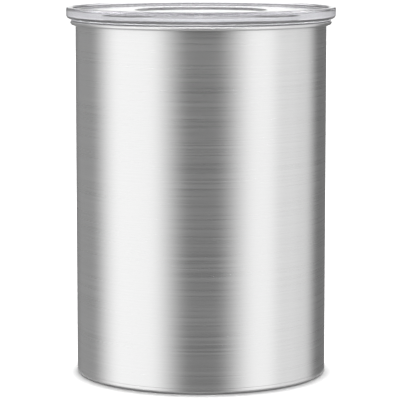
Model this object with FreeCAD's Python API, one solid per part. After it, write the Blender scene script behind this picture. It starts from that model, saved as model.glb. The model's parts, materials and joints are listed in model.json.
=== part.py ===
import FreeCAD, Part
import math
import os
from FreeCAD import Vector

# Vacuum seal canister: a steel can with a clear outer lid, and inside it a sealed plunger that is pushed down
# on the contents. Raising the plunger's handle turns two cams that lift a valve, so that air can pass, and
# folding the handle lets a spring shut the valve again.
# Millimetres, +Z up. The origin is the middle of the foot, on the surface that the canister stands on.

# Canister wall: a steel tube with its rim rolled outward
body_radius = 60.5
wall_sheet = 0.5
canister_height = 171.3
curl_width = 3.0
curl_height = 2.2
curl_edge_gap = 0.3

# Base pan: a pressed steel bottom with a rounded foot, a shoulder under the wall and a skirt up the bore
pan_sheet = 0.6
foot_radius = 1.7
foot_ring = 7.0
foot_land = 0.4
pan_skirt = 4.0
pan_rise = 1.6
pan_step_bend = 1.0
pan_weld_gap = 0.05

# Outer lid: clear moulding with a stacking lip on top and a spigot that hangs in the bore
lid_overhang = 2.0
lid_rim_height = 5.8
lid_top_round = 1.0
lid_lower_round = 2.0
lid_step_round = 0.5
stack_gap = 1.3
stack_depth = 1.6
lid_panel = 2.4
dish_radius = 31.5
dish_depth = 0.7
spigot_gap = 1.6
spigot_wall = 2.0
spigot_depth = 8.0
spigot_round = 0.6

# Outer lid gasket: soft ring with a flange under the lid's rim, a leg on the spigot and one sealing lip
lid_rest_gap = 0.1
gasket_flange = 0.5
gasket_edge_inset = 0.2
gasket_leg = 0.7
gasket_drop = 6.0
gasket_fit = 0.05
gasket_lip_gap = 0.2
gasket_lip_height = 2.0
gasket_groove_depth = 0.7
gasket_groove_height = 2.0
gasket_groove_drop = 3.2
gasket_round = 0.2

# Plunger plate: moulded dish with a groove round its wall for the wiper seal
plunger_gap = 2.5
plunger_height = 20.0
plunger_floor = 2.5
plunger_wall = 2.5
plunger_flange = 2.0
plunger_round = 0.8
plunger_floor_round = 2.0
plunger_top_gap = 2.0
plunger_lift = 2.0
seal_groove = 2.0
rib_count = 12
rib_width = 1.6
rib_height = 1.2
rib_inner_gap = 1.0

# Wiper seal: sleeve in the plunger's groove with thin fins that brush the bore
wiper_gap = 0.2
wiper_fit = 0.05
wiper_sleeve = 1.3
fin_count = 2
fin_root = 1.8
fin_tip = 0.8
fin_rise = 1.6

# Valve port: a raised seat round a hole in the plunger's floor, with spokes that keep the contents out
port_radius = 6.0
seat_width = 2.0
seat_height = 0.8
seat_round = 0.3
spoke_count = 3
spoke_width = 1.4
spoke_height = 1.2
spoke_hub_radius = 2.0

# Valve disc, washer and stem
disc_overlap = 1.5
disc_thickness = 1.6
disc_round = 0.5
washer_inset = 1.5
washer_thickness = 0.8
washer_boss = 0.8
washer_round = 0.2
stem_radius = 2.0
stem_neck_radius = 1.5
stem_head_radius = 3.2
stem_head = 1.0
stem_tip = 0.9
stem_round = 0.3
stem_fit = 0.05

# Valve spring
spring_room = 5.6
spring_radius = 5.5
spring_wire = 0.7
spring_turns = 4
spring_end_gap = 0.05
spring_side_gap = 0.5

# Valve cage: vented cup over the disc, held by screws through its lugs
cage_gap = 1.5
cage_wall = 1.6
cage_roof = 1.4
cage_round = 0.8
guide_boss = 1.5
window_count = 6
window_width = 6.0
window_sill = 3.0
window_lintel = 2.0
lug_radius = 3.2
lug_thickness = 2.0
lug_angles = (60.0, 120.0, 240.0, 300.0)
rail_height = 2.2
rail_thickness = 1.4
rail_length = 14.0
rail_gap = 0.3

# Cage screws
screw_radius = 1.1
screw_head_radius = 2.0
screw_head = 1.2
screw_round = 0.5
screw_skin = 0.7
screw_slot_width = 0.6
screw_slot_depth = 0.6
thread_gap = 0.03

# Lift bar and the clip that keeps it on the stem
bar_gap = 0.4
bar_thickness = 2.6
bar_width = 7.0
bar_round = 1.5
clip_thickness = 0.6
clip_groove_depth = 0.5
clip_width = 1.6
clip_fit = 0.03

# Handle: a bail on two pins, whose cam lobes are involutes, so that the lift follows the swing evenly
valve_lift = 2.0
handle_swing = 90.0
cam_overswing = 8.0
cam_points = 9
cam_reach = 4.2
cam_gap = 0.08
cam_width = 4.0
cam_side_gap = 1.5
hub_radius = 3.6
arm_gap = 0.5
handle_width = 6.0
handle_thickness = 6.0
handle_edge = 2.2
handle_neck = 9.0
handle_splay = 9.0
handle_shoulder_share = 0.3
handle_bend_shares = (0.38, 0.38, 0.6)
finger_gap = 14.0

# Ears that carry the handle, and its pins
ear_gap = 0.3
ear_thickness = 4.0
ear_radius = 4.5
ear_foot = 13.0
pin_radius = 1.5
pin_depth = 8.0
pin_fit = 0.05
pin_press_gap = 0.02
pin_head_radius = 2.6
pin_head = 1.0
pin_round = 0.4

# Runs that every cut passes its piece by, and the distance under which two points are one
overrun = 1.0
same_point = 1e-6
full_turn = 360.0

# Places worked out from the sizes: the canister and its outer lid
bore_radius = body_radius - wall_sheet
rim_radius = bore_radius + curl_width
ring_edge = body_radius - foot_radius - foot_ring
pan_shoulder = foot_radius + foot_land + pan_sheet
wall_foot = pan_shoulder + pan_weld_gap
lid_seat = canister_height + lid_rest_gap + gasket_flange
lid_radius = rim_radius + lid_overhang
lid_top = lid_seat + lid_rim_height
lid_floor = lid_top - stack_depth
lid_under = lid_floor - lid_panel
dish_floor = lid_floor - dish_depth
dish_under = dish_floor - lid_panel
spigot_radius = bore_radius - spigot_gap
spigot_inner = spigot_radius - spigot_wall
groove_top = lid_seat - gasket_groove_drop
groove_floor = spigot_radius - gasket_groove_depth

# Places worked out from the sizes: the valve, as heights above the underside of the plunger
seat_level = plunger_floor + seat_height
disc_top = seat_level + disc_thickness
washer_top = disc_top + washer_thickness
roof_under = washer_top + spring_room
roof_top = roof_under + cage_roof
bar_under = roof_top + bar_gap
bar_top = bar_under + bar_thickness
pivot_level = bar_under - cam_reach
seat_radius = port_radius + seat_width
disc_radius = seat_radius + disc_overlap
cage_inner = disc_radius + cage_gap
cage_outer = cage_inner + cage_wall
spring_core = spring_radius - spring_wire / 2 - spring_side_gap
lug_circle = cage_outer + lug_radius

# Places worked out from the sizes: the handle
flange_radius = bore_radius - plunger_gap
plunger_outer = flange_radius - seal_groove
plunger_inner = plunger_outer - plunger_wall
cam_near = cage_outer + cam_side_gap
cam_far = cam_near + cam_width
arm_near = cam_far + arm_gap
arm_far = arm_near + handle_width
ear_near = arm_far + ear_gap
ear_far = ear_near + ear_thickness
grip_reach = plunger_inner - finger_gap
cam_base_radius = valve_lift / math.radians(handle_swing)

# The plunger rests as high as lets the handle stand upright below the outer lid
plunger_base = dish_under - plunger_top_gap - plunger_lift - pivot_level - grip_reach
floor_level = plunger_base + plunger_floor
pivot_height = plunger_base + pivot_level


def corner_arc(before, corner, after, radius):
    """Start, middle and end of the arc of this radius that rounds a corner between two straight runs."""
    back = (before - corner).normalize()
    ahead = (after - corner).normalize()
    half_angle = back.getAngle(ahead) / 2
    reach = radius / math.tan(half_angle)
    inward = (back + ahead).normalize()
    middle = corner + inward * (radius / math.sin(half_angle) - radius)
    return corner + back * reach, middle, corner + ahead * reach


def rounded_path(points, radii, closed):
    """A wire of straight runs through the points, with a tangent arc at each point that has a radius."""
    count = len(points)
    corners = []
    for index, point in enumerate(points):
        if radii[index] > 0:
            corners.append(corner_arc(points[index - 1], point, points[(index + 1) % count], radii[index]))
        else:
            corners.append((point, None, point))
    edges = []
    for index, (start, middle, stop) in enumerate(corners):
        if middle:
            edges.append(Part.Arc(start, middle, stop).toShape())
        following = corners[(index + 1) % count][0]
        if (closed or index + 1 < count) and stop.distanceToPoint(following) > same_point:
            edges.append(Part.LineSegment(stop, following).toShape())
    return Part.Wire(edges)


def rounded_face(corners, place):
    """A face inside corners (across, up, rounding), each put into space by place(across, up)."""
    points = [place(across, up) for across, up, rounding in corners]
    return Part.Face(rounded_path(points, [corner[2] for corner in corners], True))


def turned(corners):
    """A solid turned about Z from the corners (radius, height, rounding) of its section."""
    section = rounded_face(corners, lambda radius, height: Vector(radius, 0, height))
    return section.revolve(Vector(), Vector(0, 0, 1), full_turn)


def lifted(corners):
    """The same section with its heights counted from the underside of the plunger."""
    return turned([(radius, plunger_base + height, rounding) for radius, height, rounding in corners])


def upright_rod(x, y, low, high, radius):
    return Part.makeCylinder(radius, high - low, Vector(x, y, low))


def cross_rod(near, far, radius):
    """A rod along X on the handle's pivot axis, between two distances from the middle."""
    return Part.makeCylinder(radius, far - near, Vector(near, 0, pivot_height), Vector(1, 0, 0))


def block(x_low, x_high, y_low, y_high, z_low, z_high):
    return Part.makeBox(x_high - x_low, y_high - y_low, z_high - z_low, Vector(x_low, y_low, z_low))


def spun(shape, angle):
    return shape.rotated(Vector(), Vector(0, 0, 1), angle)


def both_sides(shape):
    """The shape and its mirror image across the YZ plane."""
    return [shape, shape.mirror(Vector(), Vector(1, 0, 0))]


def polar(radius, angle):
    turn = math.radians(angle)
    return radius * math.cos(turn), radius * math.sin(turn)


def canister_wall():
    curl_round = curl_height / 2
    curl_inside = curl_round - wall_sheet
    curl_under = canister_height - curl_height
    return turned([
        (body_radius, wall_foot, 0),
        (body_radius, canister_height - wall_sheet, curl_inside),
        (rim_radius - wall_sheet, canister_height - wall_sheet, curl_inside),
        (rim_radius - wall_sheet, curl_under + wall_sheet, curl_inside),
        (body_radius + curl_edge_gap, curl_under + wall_sheet, 0),
        (body_radius + curl_edge_gap, curl_under, 0),
        (rim_radius, curl_under, curl_round),
        (rim_radius, canister_height, curl_round),
        (bore_radius, canister_height, curl_round),
        (bore_radius, wall_foot, 0),
    ])


def base_pan():
    """A pressed bottom: its raised middle, the flat foot ring, the rounded foot, and the shoulder and skirt."""
    skirt = bore_radius - pan_weld_gap
    step_head = ring_edge - pan_rise
    mitre = pan_sheet * math.tan(math.radians(full_turn / 16))
    outer_bend = pan_step_bend + pan_sheet
    return turned([
        (0, pan_rise, 0),
        (step_head, pan_rise, pan_step_bend),
        (ring_edge, 0, outer_bend),
        (body_radius, 0, foot_radius),
        (body_radius, pan_shoulder, 0),
        (skirt, pan_shoulder, 0),
        (skirt, pan_shoulder + pan_skirt, 0),
        (skirt - pan_sheet, pan_shoulder + pan_skirt, 0),
        (skirt - pan_sheet, pan_shoulder - pan_sheet, 0),
        (body_radius - pan_sheet, pan_shoulder - pan_sheet, 0),
        (body_radius - pan_sheet, pan_sheet, foot_radius - pan_sheet),
        (ring_edge + mitre, pan_sheet, pan_step_bend),
        (step_head + mitre, pan_rise + pan_sheet, outer_bend),
        (0, pan_rise + pan_sheet, 0),
    ])


def outer_lid():
    lip_inner = body_radius + stack_gap
    spigot_end = lid_seat - spigot_depth
    return turned([
        (0, dish_floor, 0),
        (dish_radius, dish_floor, lid_step_round),
        (dish_radius + dish_depth, lid_floor, lid_step_round),
        (lip_inner, lid_floor, lid_step_round),
        (lip_inner, lid_top, lid_top_round),
        (lid_radius, lid_top, lid_top_round),
        (lid_radius, lid_seat, lid_lower_round),
        (spigot_radius, lid_seat, 0),
        (spigot_radius, groove_top, 0),
        (groove_floor, groove_top, 0),
        (groove_floor, groove_top - gasket_groove_height, 0),
        (spigot_radius, groove_top - gasket_groove_height, 0),
        (spigot_radius, spigot_end, spigot_round),
        (spigot_inner, spigot_end, spigot_round),
        (spigot_inner, lid_under, spigot_round),
        (dish_radius + dish_depth, lid_under, lid_step_round),
        (dish_radius, dish_under, lid_step_round),
        (0, dish_under, 0),
    ])


def outer_lid_gasket():
    leg_inner = spigot_radius + gasket_fit
    leg_outer = leg_inner + gasket_leg
    leg_end = lid_seat - gasket_drop
    key_top = groove_top - gasket_fit
    key_end = groove_top - gasket_groove_height + gasket_fit
    lip_middle = (key_top + key_end) / 2
    return turned([
        (leg_inner, lid_seat, 0),
        (rim_radius - gasket_edge_inset, lid_seat, gasket_round),
        (rim_radius - gasket_edge_inset, lid_seat - gasket_flange, gasket_round),
        (leg_outer, lid_seat - gasket_flange, gasket_round),
        (leg_outer, lip_middle + gasket_lip_height / 2, 0),
        (bore_radius - gasket_lip_gap, lip_middle, gasket_round),
        (leg_outer, lip_middle - gasket_lip_height / 2, 0),
        (leg_outer, leg_end, gasket_round),
        (leg_inner, leg_end, gasket_round),
        (leg_inner, key_end, 0),
        (groove_floor + gasket_fit, key_end, 0),
        (groove_floor + gasket_fit, key_top, 0),
        (leg_inner, key_top, 0),
    ])


def port_spokes():
    """A hub and spokes across the bottom of the port."""
    top = plunger_base + spoke_height
    hub = upright_rod(0, 0, plunger_base, top, spoke_hub_radius)
    reach = port_radius + seat_width / 2
    spoke = block(0, reach, -spoke_width / 2, spoke_width / 2, plunger_base, top)
    return [hub] + [spun(spoke, full_turn * index / spoke_count) for index in range(spoke_count)]


def floor_ribs():
    """Low ribs on the plunger's floor, from the valve cage's lugs out to the wall."""
    inner = lug_circle + lug_radius + rib_inner_gap
    outer = plunger_inner + plunger_wall / 2
    rib = block(inner, outer, -rib_width / 2, rib_width / 2, plunger_base + plunger_floor / 2,
                floor_level + rib_height)
    return [spun(rib, full_turn * (index + 1 / 2) / rib_count) for index in range(rib_count)]


def handle_ears():
    """Two upright plates whose round tops carry the handle's pins."""
    foot = plunger_base + plunger_floor / 2
    top = pivot_height + ear_radius
    side = rounded_face([
        (-ear_foot / 2, foot, 0),
        (-ear_radius, top, ear_radius),
        (ear_radius, top, ear_radius),
        (ear_foot / 2, foot, 0),
    ], lambda across, up: Vector(ear_near, across, up))
    return both_sides(side.extrude(Vector(ear_thickness, 0, 0)))


def plunger_plate():
    dish = lifted([
        (port_radius, 0, 0),
        (flange_radius, 0, plunger_round),
        (flange_radius, plunger_flange, 0),
        (plunger_outer, plunger_flange, 0),
        (plunger_outer, plunger_height - plunger_flange, 0),
        (flange_radius, plunger_height - plunger_flange, 0),
        (flange_radius, plunger_height, plunger_round),
        (plunger_inner, plunger_height, plunger_round),
        (plunger_inner, plunger_floor, plunger_floor_round),
        (seat_radius, plunger_floor, 0),
        (seat_radius, seat_level, seat_round),
        (port_radius, seat_level, seat_round),
    ])
    plate = dish.fuse(port_spokes() + floor_ribs() + handle_ears())
    holes = both_sides(cross_rod(ear_near - overrun, ear_far + overrun, pin_radius + pin_press_gap))
    for angle in lug_angles:
        x, y = polar(lug_circle, angle)
        holes.append(upright_rod(x, y, plunger_base + screw_skin, floor_level + overrun,
                                 screw_radius + thread_gap))
    return plate.cut(holes).removeSplitter()


def wiper_seal():
    """A sleeve in the groove, with fins that rise outward to the bore."""
    inner = plunger_outer + wiper_fit
    sleeve = inner + wiper_sleeve
    tip = bore_radius - wiper_gap
    low = plunger_flange + wiper_fit
    high = plunger_height - plunger_flange - wiper_fit
    pitch = (high - low) / fin_count
    corners = [(inner, low, 0), (sleeve, low, 0)]
    for index in range(fin_count):
        root = low + pitch * (index + 1 / 2) - fin_root / 2
        corners += [
            (sleeve, root, 0),
            (tip, root + fin_rise, 0),
            (tip, root + fin_rise + fin_tip, 0),
            (sleeve, root + fin_root, 0),
        ]
    return lifted(corners + [(sleeve, high, 0), (inner, high, 0)])


def cage_lug(angle):
    """A flat round lug with a web back to the cage's wall."""
    top = floor_level + lug_thickness
    web_start = (cage_inner + cage_outer) / 2
    pad = upright_rod(lug_circle, 0, floor_level, top, lug_radius)
    web = block(web_start, lug_circle, -lug_radius, lug_radius, floor_level, top)
    hole = upright_rod(lug_circle, 0, floor_level - overrun, top + overrun, screw_radius + thread_gap)
    return spun(pad.fuse(web).cut(hole), angle)


def bar_rails():
    """Two rails on the cage's roof that keep the lift bar from turning."""
    near = bar_width / 2 + rail_gap
    foot = plunger_base + roof_under + cage_roof / 2
    rail = block(-rail_length / 2, rail_length / 2, near, near + rail_thickness, foot,
                 plunger_base + roof_top + rail_height)
    return [rail, spun(rail, full_turn / 2)]


def valve_cage():
    cup = lifted([
        (cage_inner, plunger_floor, 0),
        (cage_outer, plunger_floor, 0),
        (cage_outer, roof_top, cage_round),
        (stem_radius + stem_fit, roof_top, 0),
        (stem_radius + stem_fit, roof_under - guide_boss, 0),
        (spring_core, roof_under - guide_boss, 0),
        (spring_core, roof_under, 0),
        (cage_inner, roof_under, 0),
    ])
    window = block(0, cage_outer + overrun, -window_width / 2, window_width / 2, floor_level + window_sill,
                   plunger_base + roof_under - window_lintel)
    window = window.cut(upright_rod(0, 0, floor_level, plunger_base + roof_top, cage_inner - cage_wall))
    windows = [spun(window, full_turn * (index + 1 / 2) / window_count) for index in range(window_count)]
    body = cup.cut(windows)
    return body.fuse([cage_lug(angle) for angle in lug_angles] + bar_rails()).removeSplitter()


def cage_screws():
    """Slotted pan-head screws down through the cage's lugs into the plunger's floor."""
    head_under = plunger_floor + lug_thickness
    head_top = plunger_base + head_under + screw_head
    screw = lifted([
        (0, screw_skin, 0),
        (screw_radius, screw_skin, 0),
        (screw_radius, head_under, 0),
        (screw_head_radius, head_under, 0),
        (screw_head_radius, head_under + screw_head, screw_round),
        (0, head_under + screw_head, 0),
    ])
    slot = block(-screw_head_radius, screw_head_radius, -screw_slot_width / 2, screw_slot_width / 2,
                 head_top - screw_slot_depth, head_top + overrun)
    screw = screw.cut(slot)
    return Part.makeCompound([screw.translated(Vector(*polar(lug_circle, angle), 0)) for angle in lug_angles])


def valve_disc():
    hole = stem_neck_radius + stem_fit
    return lifted([
        (hole, seat_level, 0),
        (disc_radius, seat_level, disc_round),
        (disc_radius, disc_top, disc_round),
        (hole, disc_top, 0),
    ])


def disc_washer():
    """A flat washer with a boss that centres the spring."""
    hole = stem_neck_radius + stem_fit
    return lifted([
        (hole, disc_top, 0),
        (disc_radius - washer_inset, disc_top, washer_round),
        (disc_radius - washer_inset, washer_top, washer_round),
        (spring_core, washer_top, 0),
        (spring_core, washer_top + washer_boss, washer_round),
        (hole, washer_top + washer_boss, 0),
    ])


def valve_stem():
    """A head under the disc, a neck through disc and washer, the guided shaft, and a grooved journal."""
    clip_floor = stem_neck_radius - clip_groove_depth
    clip_top = bar_top + clip_thickness
    return lifted([
        (0, seat_level - stem_head, 0),
        (stem_head_radius, seat_level - stem_head, stem_round),
        (stem_head_radius, seat_level, 0),
        (stem_neck_radius, seat_level, 0),
        (stem_neck_radius, washer_top + washer_boss, 0),
        (stem_radius, washer_top + washer_boss, 0),
        (stem_radius, bar_under, 0),
        (stem_neck_radius, bar_under, 0),
        (stem_neck_radius, bar_top, 0),
        (clip_floor, bar_top, 0),
        (clip_floor, clip_top, 0),
        (stem_neck_radius, clip_top, 0),
        (stem_neck_radius, clip_top + stem_tip, stem_round),
        (0, clip_top + stem_tip, 0),
    ])


def lift_bar():
    """A flat bar across the stem whose ends lie over the handle's cams."""
    half = bar_width / 2
    outline = [(cam_far, -half), (cam_far, half), (-cam_far, half), (-cam_far, -half)]
    base = plunger_base + bar_under
    face = rounded_face([(x, y, bar_round) for x, y in outline], lambda x, y: Vector(x, y, base))
    bar = face.extrude(Vector(0, 0, bar_thickness))
    hole = upright_rod(0, 0, base - overrun, base + bar_thickness + overrun, stem_neck_radius + stem_fit)
    return bar.cut(hole)


def stem_clip():
    """An open ring in the stem's groove, on top of the lift bar."""
    inner = stem_neck_radius - clip_groove_depth + clip_fit
    outer = inner + clip_width
    low = plunger_base + bar_top
    high = low + clip_thickness - clip_fit
    ring = upright_rod(0, 0, low, high, outer).cut(upright_rod(0, 0, low - overrun, high + overrun, inner))
    mouth = block(-inner, inner, 0, outer + overrun, low - overrun, high + overrun)
    return ring.cut(mouth)


def biarc(start, leaving, end, arriving):
    """Two tangent arcs from start to end that leave and arrive along the two given unit directions."""
    span = end - start
    turn = 2 * (1 - leaving.dot(arriving))
    along = 2 * span.dot(leaving + arriving)
    reach = (math.sqrt(along ** 2 + 4 * turn * span.dot(span)) - along) / (2 * turn)
    first = start + leaving * reach
    second = end - arriving * reach
    meeting = (first + second) / 2
    edges = []
    for near, corner, far in ((start, first, meeting), (meeting, second, end)):
        half_angle = (near - corner).getAngle(far - corner) / 2
        arc = corner_arc(near, corner, far, reach * math.tan(half_angle))
        edges.append(Part.Arc(near, arc[1], far).toShape())
    return edges


def helix(radius, low, high, turns):
    """A rising helix about Z, as biarcs of a quarter turn each."""
    quarter = math.pi / 2
    climb = (high - low) / (2 * math.pi * turns)
    places = []
    for index in range(4 * turns + 1):
        angle = quarter * index
        place = Vector(radius * math.cos(angle), radius * math.sin(angle), low + climb * angle)
        heading = Vector(-radius * math.sin(angle), radius * math.cos(angle), climb).normalize()
        places.append((place, heading))
    edges = []
    for here, there in zip(places, places[1:]):
        edges += biarc(*here, *there)
    return Part.Wire(edges), places[0]


def least_gap(path, turns, thickness):
    """The least distance between two turns of a wound tube, measured on points along its path."""
    per_turn = 36
    points = path.discretize(per_turn * turns + 1)
    pairs = ((points[i], points[j]) for i in range(len(points)) for j in range(i + per_turn // 2, len(points)))
    return min(one.distanceToPoint(other) for one, other in pairs) - thickness


def valve_spring():
    margin = spring_wire / 2 + spring_end_gap
    path, (start, heading) = helix(spring_radius, plunger_base + washer_top + margin,
                                   plunger_base + roof_under - margin, spring_turns)
    print("valve_spring least gap between turns", round(least_gap(path, spring_turns, spring_wire), 3))
    section = Part.Wire(Part.Circle(start, heading, spring_wire / 2).toShape())
    return path.makePipeShell([section], True, False)


def cam_lobe():
    """The involute lobe that lifts the bar: its height over the axis grows evenly with the swing."""
    reach = cam_reach - cam_gap
    points = []
    for index in range(cam_points):
        turn = math.radians((handle_swing + cam_overswing) * index / (cam_points - 1))
        height = reach + cam_base_radius * turn
        across = -height * math.sin(turn) - cam_base_radius * math.cos(turn)
        up = height * math.cos(turn) - cam_base_radius * math.sin(turn)
        points.append(Vector(cam_near, across, pivot_height + up))
    flank = Part.BSplineCurve()
    flank.interpolate(points)
    axis = Vector(cam_near, 0, pivot_height)
    crest = axis + Vector(0, 0, reach)
    edges = [flank.toShape()]
    for start, end in ((points[-1], axis), (axis, crest), (crest, points[0])):
        edges.append(Part.LineSegment(start, end).toShape())
    return Part.Face(Part.Wire(edges)).extrude(Vector(cam_width, 0, 0))


def bail_side():
    """Corners (across, out, rounding) of half the bail's line. A bend takes a share of its shorter run."""
    arm = (arm_near + arm_far) / 2
    grip = grip_reach - handle_width / 2
    shoulder = handle_neck + (grip - handle_neck) * handle_shoulder_share
    line = [
        Vector(arm, 0),
        Vector(arm, handle_neck),
        Vector(arm + handle_splay, shoulder),
        Vector(arm + handle_splay, grip),
        Vector(0, grip),
    ]
    corners = [(arm, 0, 0)]
    for before, corner, after, share in zip(line, line[1:], line[2:], handle_bend_shares):
        shorter_run = min(corner.distanceToPoint(before), corner.distanceToPoint(after))
        half_angle = (before - corner).getAngle(after - corner) / 2
        corners.append((corner.x, corner.y, share * shorter_run * math.tan(half_angle)))
    return corners


def bail():
    """A rounded bar carried along the bail's line, from one arm round the grip to the other."""
    side = bail_side()
    arm = side[0][0]
    line = side + [(-x, y, rounding) for x, y, rounding in reversed(side)]
    path = rounded_path([Vector(x, -y, pivot_height) for x, y, rounding in line], [p[2] for p in line], False)
    x_half = handle_width / 2
    z_half = handle_thickness / 2
    section = rounded_path(
        [Vector(arm + x, 0, pivot_height + z)
         for x, z in ((x_half, -z_half), (x_half, z_half), (-x_half, z_half), (-x_half, -z_half))],
        [handle_edge] * 4, True)
    return path.makePipeShell([section], True, False)


def handle():
    hubs = both_sides(cross_rod(cam_near, arm_far, hub_radius))
    bores = both_sides(cross_rod(arm_far - pin_depth - pin_fit, arm_far + overrun, pin_radius + pin_fit))
    return bail().fuse(hubs + both_sides(cam_lobe())).cut(bores).removeSplitter()


def handle_pin():
    """A headed pin pressed through an ear, on which the handle's hub turns."""
    section = rounded_face([
        (arm_far - pin_depth, 0, 0),
        (ear_far + pin_head, 0, 0),
        (ear_far + pin_head, pin_head_radius, pin_round),
        (ear_far, pin_head_radius, 0),
        (ear_far, pin_radius, 0),
        (arm_far - pin_depth, pin_radius, pin_round),
    ], lambda x, radius: Vector(x, 0, pivot_height + radius))
    return section.revolve(Vector(0, 0, pivot_height), Vector(1, 0, 0), full_turn)


def build():
    right_pin, left_pin = both_sides(handle_pin())
    return {
        "canister_wall": canister_wall(),
        "base_pan": base_pan(),
        "outer_lid": outer_lid(),
        "outer_lid_gasket": outer_lid_gasket(),
        "plunger_plate": plunger_plate(),
        "wiper_seal": wiper_seal(),
        "valve_cage": valve_cage(),
        "cage_screws": cage_screws(),
        "valve_disc": valve_disc(),
        "disc_washer": disc_washer(),
        "valve_stem": valve_stem(),
        "valve_spring": valve_spring(),
        "lift_bar": lift_bar(),
        "stem_clip": stem_clip(),
        "handle": handle(),
        "right_handle_pin": right_pin,
        "left_handle_pin": left_pin,
    }


os.makedirs("parts", exist_ok=True)
for name, shape in build().items():
    shape.exportStep("parts/" + name + ".step")
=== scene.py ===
import json
import math
from functools import partial

import bpy
import numpy as np
from bpy.props import FloatProperty, FloatVectorProperty, IntProperty, PointerProperty
from bpy.types import Operator, Panel, PropertyGroup
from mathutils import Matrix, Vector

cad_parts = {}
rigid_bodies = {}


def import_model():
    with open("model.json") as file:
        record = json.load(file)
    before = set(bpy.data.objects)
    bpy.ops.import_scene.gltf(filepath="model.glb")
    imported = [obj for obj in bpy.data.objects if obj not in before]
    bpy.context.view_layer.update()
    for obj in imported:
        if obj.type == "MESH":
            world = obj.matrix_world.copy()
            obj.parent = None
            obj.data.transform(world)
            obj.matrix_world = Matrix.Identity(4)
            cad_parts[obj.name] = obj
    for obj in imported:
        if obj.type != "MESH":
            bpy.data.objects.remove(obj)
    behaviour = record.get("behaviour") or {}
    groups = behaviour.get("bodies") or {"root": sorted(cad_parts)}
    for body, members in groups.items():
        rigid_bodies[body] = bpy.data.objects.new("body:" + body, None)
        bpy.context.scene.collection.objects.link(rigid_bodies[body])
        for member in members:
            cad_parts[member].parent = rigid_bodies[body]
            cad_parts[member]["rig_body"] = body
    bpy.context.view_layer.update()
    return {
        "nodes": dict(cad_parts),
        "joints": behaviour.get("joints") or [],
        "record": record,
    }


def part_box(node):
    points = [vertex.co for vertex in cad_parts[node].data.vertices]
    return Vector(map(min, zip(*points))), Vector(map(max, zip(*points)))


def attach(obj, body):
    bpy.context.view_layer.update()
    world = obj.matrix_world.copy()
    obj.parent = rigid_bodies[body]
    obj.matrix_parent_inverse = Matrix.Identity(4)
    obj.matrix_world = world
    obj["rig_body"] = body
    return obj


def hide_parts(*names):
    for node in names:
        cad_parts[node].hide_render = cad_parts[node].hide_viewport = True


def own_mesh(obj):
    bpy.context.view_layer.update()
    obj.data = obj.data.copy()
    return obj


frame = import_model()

bl_info = {
    "name": "Vacuum Seal Canister",
    "version": (1, 0, 0),
    "blender": (4, 5, 0),
    "location": "View3D > Sidebar > Canister",
    "description": "A steel canister with a clear lid and a sealed plunger, and its studio and camera",
    "category": "Object",
}

# Places, bodies, finishes and joints read from the frame, in metres
LOW = {node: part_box(node)[0] for node in frame["nodes"]}
HIGH = {node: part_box(node)[1] for node in frame["nodes"]}
BODIES = {node: part["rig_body"] for node, part in frame["nodes"].items()}
SLOTS = {subpart["node"]: subpart["material_slot"] for subpart in frame["record"]["subparts"]}
JOINTS = {joint["name"]: joint for joint in frame["joints"]}
VALVE_LIFT = JOINTS["valve_lift"]["range_m"][1]
HANDLE_SWING = math.radians(JOINTS["handle_swing"]["range_deg"][1])

# Distance at which two points count as one, and the least length that a vector is divided by
SAME_PLACE = 1e-8
LEAST_LENGTH = 1e-12
# Angle between two faces past which their edge is sharp
SHARP_ANGLE = math.radians(50)
# Faces round the small turned pieces and the floor
CAGE_SEGMENTS = 128
DISC_SEGMENTS = 96
HUB_SEGMENTS = 64
STEM_SEGMENTS = 48
SPOKE_HUB_SEGMENTS = 32
FLOOR_SEGMENTS = 128
# Steps along a turn of the spring, sides of its wire, and steps along a cam's flank
SPRING_STEPS = 64
WIRE_SIDES = 14
CAM_STEPS = 24
# Runs of a plate's outline are so many times shorter than the size that they follow
PLATE_RUNS = 4
# Middle range of a noise, where most of its values lie
NOISE_RANGE = (0.3, 0.7)
# Numbers of a mix node's sockets: its first value, its second value and its result
MIX_SOCKETS = {"FLOAT": (2, 3, 0), "RGBA": (6, 7, 2)}
UP = np.array((0, 0, 1))


def length(name, description, default):
    """A property that holds a length in metres."""
    return FloatProperty(name=name, description=description, default=default, min=0.0, precision=5,
                         unit="LENGTH")


def share(name, description, default):
    """A property that holds a share between nothing and the whole."""
    return FloatProperty(name=name, description=description, default=default, min=0.0, max=1.0,
                         subtype="FACTOR")


def angle(name, description, degrees):
    """A property that holds an angle."""
    return FloatProperty(name=name, description=description, default=math.radians(degrees), subtype="ANGLE")


def count(name, description, default):
    """A property that holds a number of like features."""
    return IntProperty(name=name, description=description, default=default, min=1)


def number(name, description, default):
    """A property that holds a plain number."""
    return FloatProperty(name=name, description=description, default=default, min=0.0)


def colour(name, description, default):
    """A property that holds a linear colour."""
    return FloatVectorProperty(name=name, description=description, default=default, size=3, min=0.0, max=1.0,
                               subtype="COLOR")


class CanSizes(PropertyGroup):
    """Sizes of the steel wall and of the pressed pan under it."""
    wall_sheet: length("Wall sheet", "Thickness of the wall's steel", 0.0005)
    curl_width: length("Curl width", "Width of the rolled rim over the bore", 0.003)
    curl_height: length("Curl height", "Height of the rolled rim", 0.0022)
    curl_edge_gap: length("Curl edge gap", "Gap between the curl's edge and the wall", 0.0003)
    pan_sheet: length("Pan sheet", "Thickness of the pan's steel", 0.0006)
    pan_fit: length("Pan fit", "Gap between the pan and the wall", 0.00005)
    foot_radius: length("Foot radius", "Rounding of the foot's outer edge", 0.0017)
    foot_ring: length("Foot ring", "Width of the flat ring that the canister stands on", 0.007)
    pan_rise: length("Pan rise", "Height of the pan's pressed middle", 0.0016)
    pan_bend: length("Pan bend", "Inner radius of the bends round the middle", 0.001)
    seam_round: length("Seam rounding", "Rounding of the edges at the seam over the foot", 0.00004)
    segments: count("Segments", "Faces round each large turned surface", 256)


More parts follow.
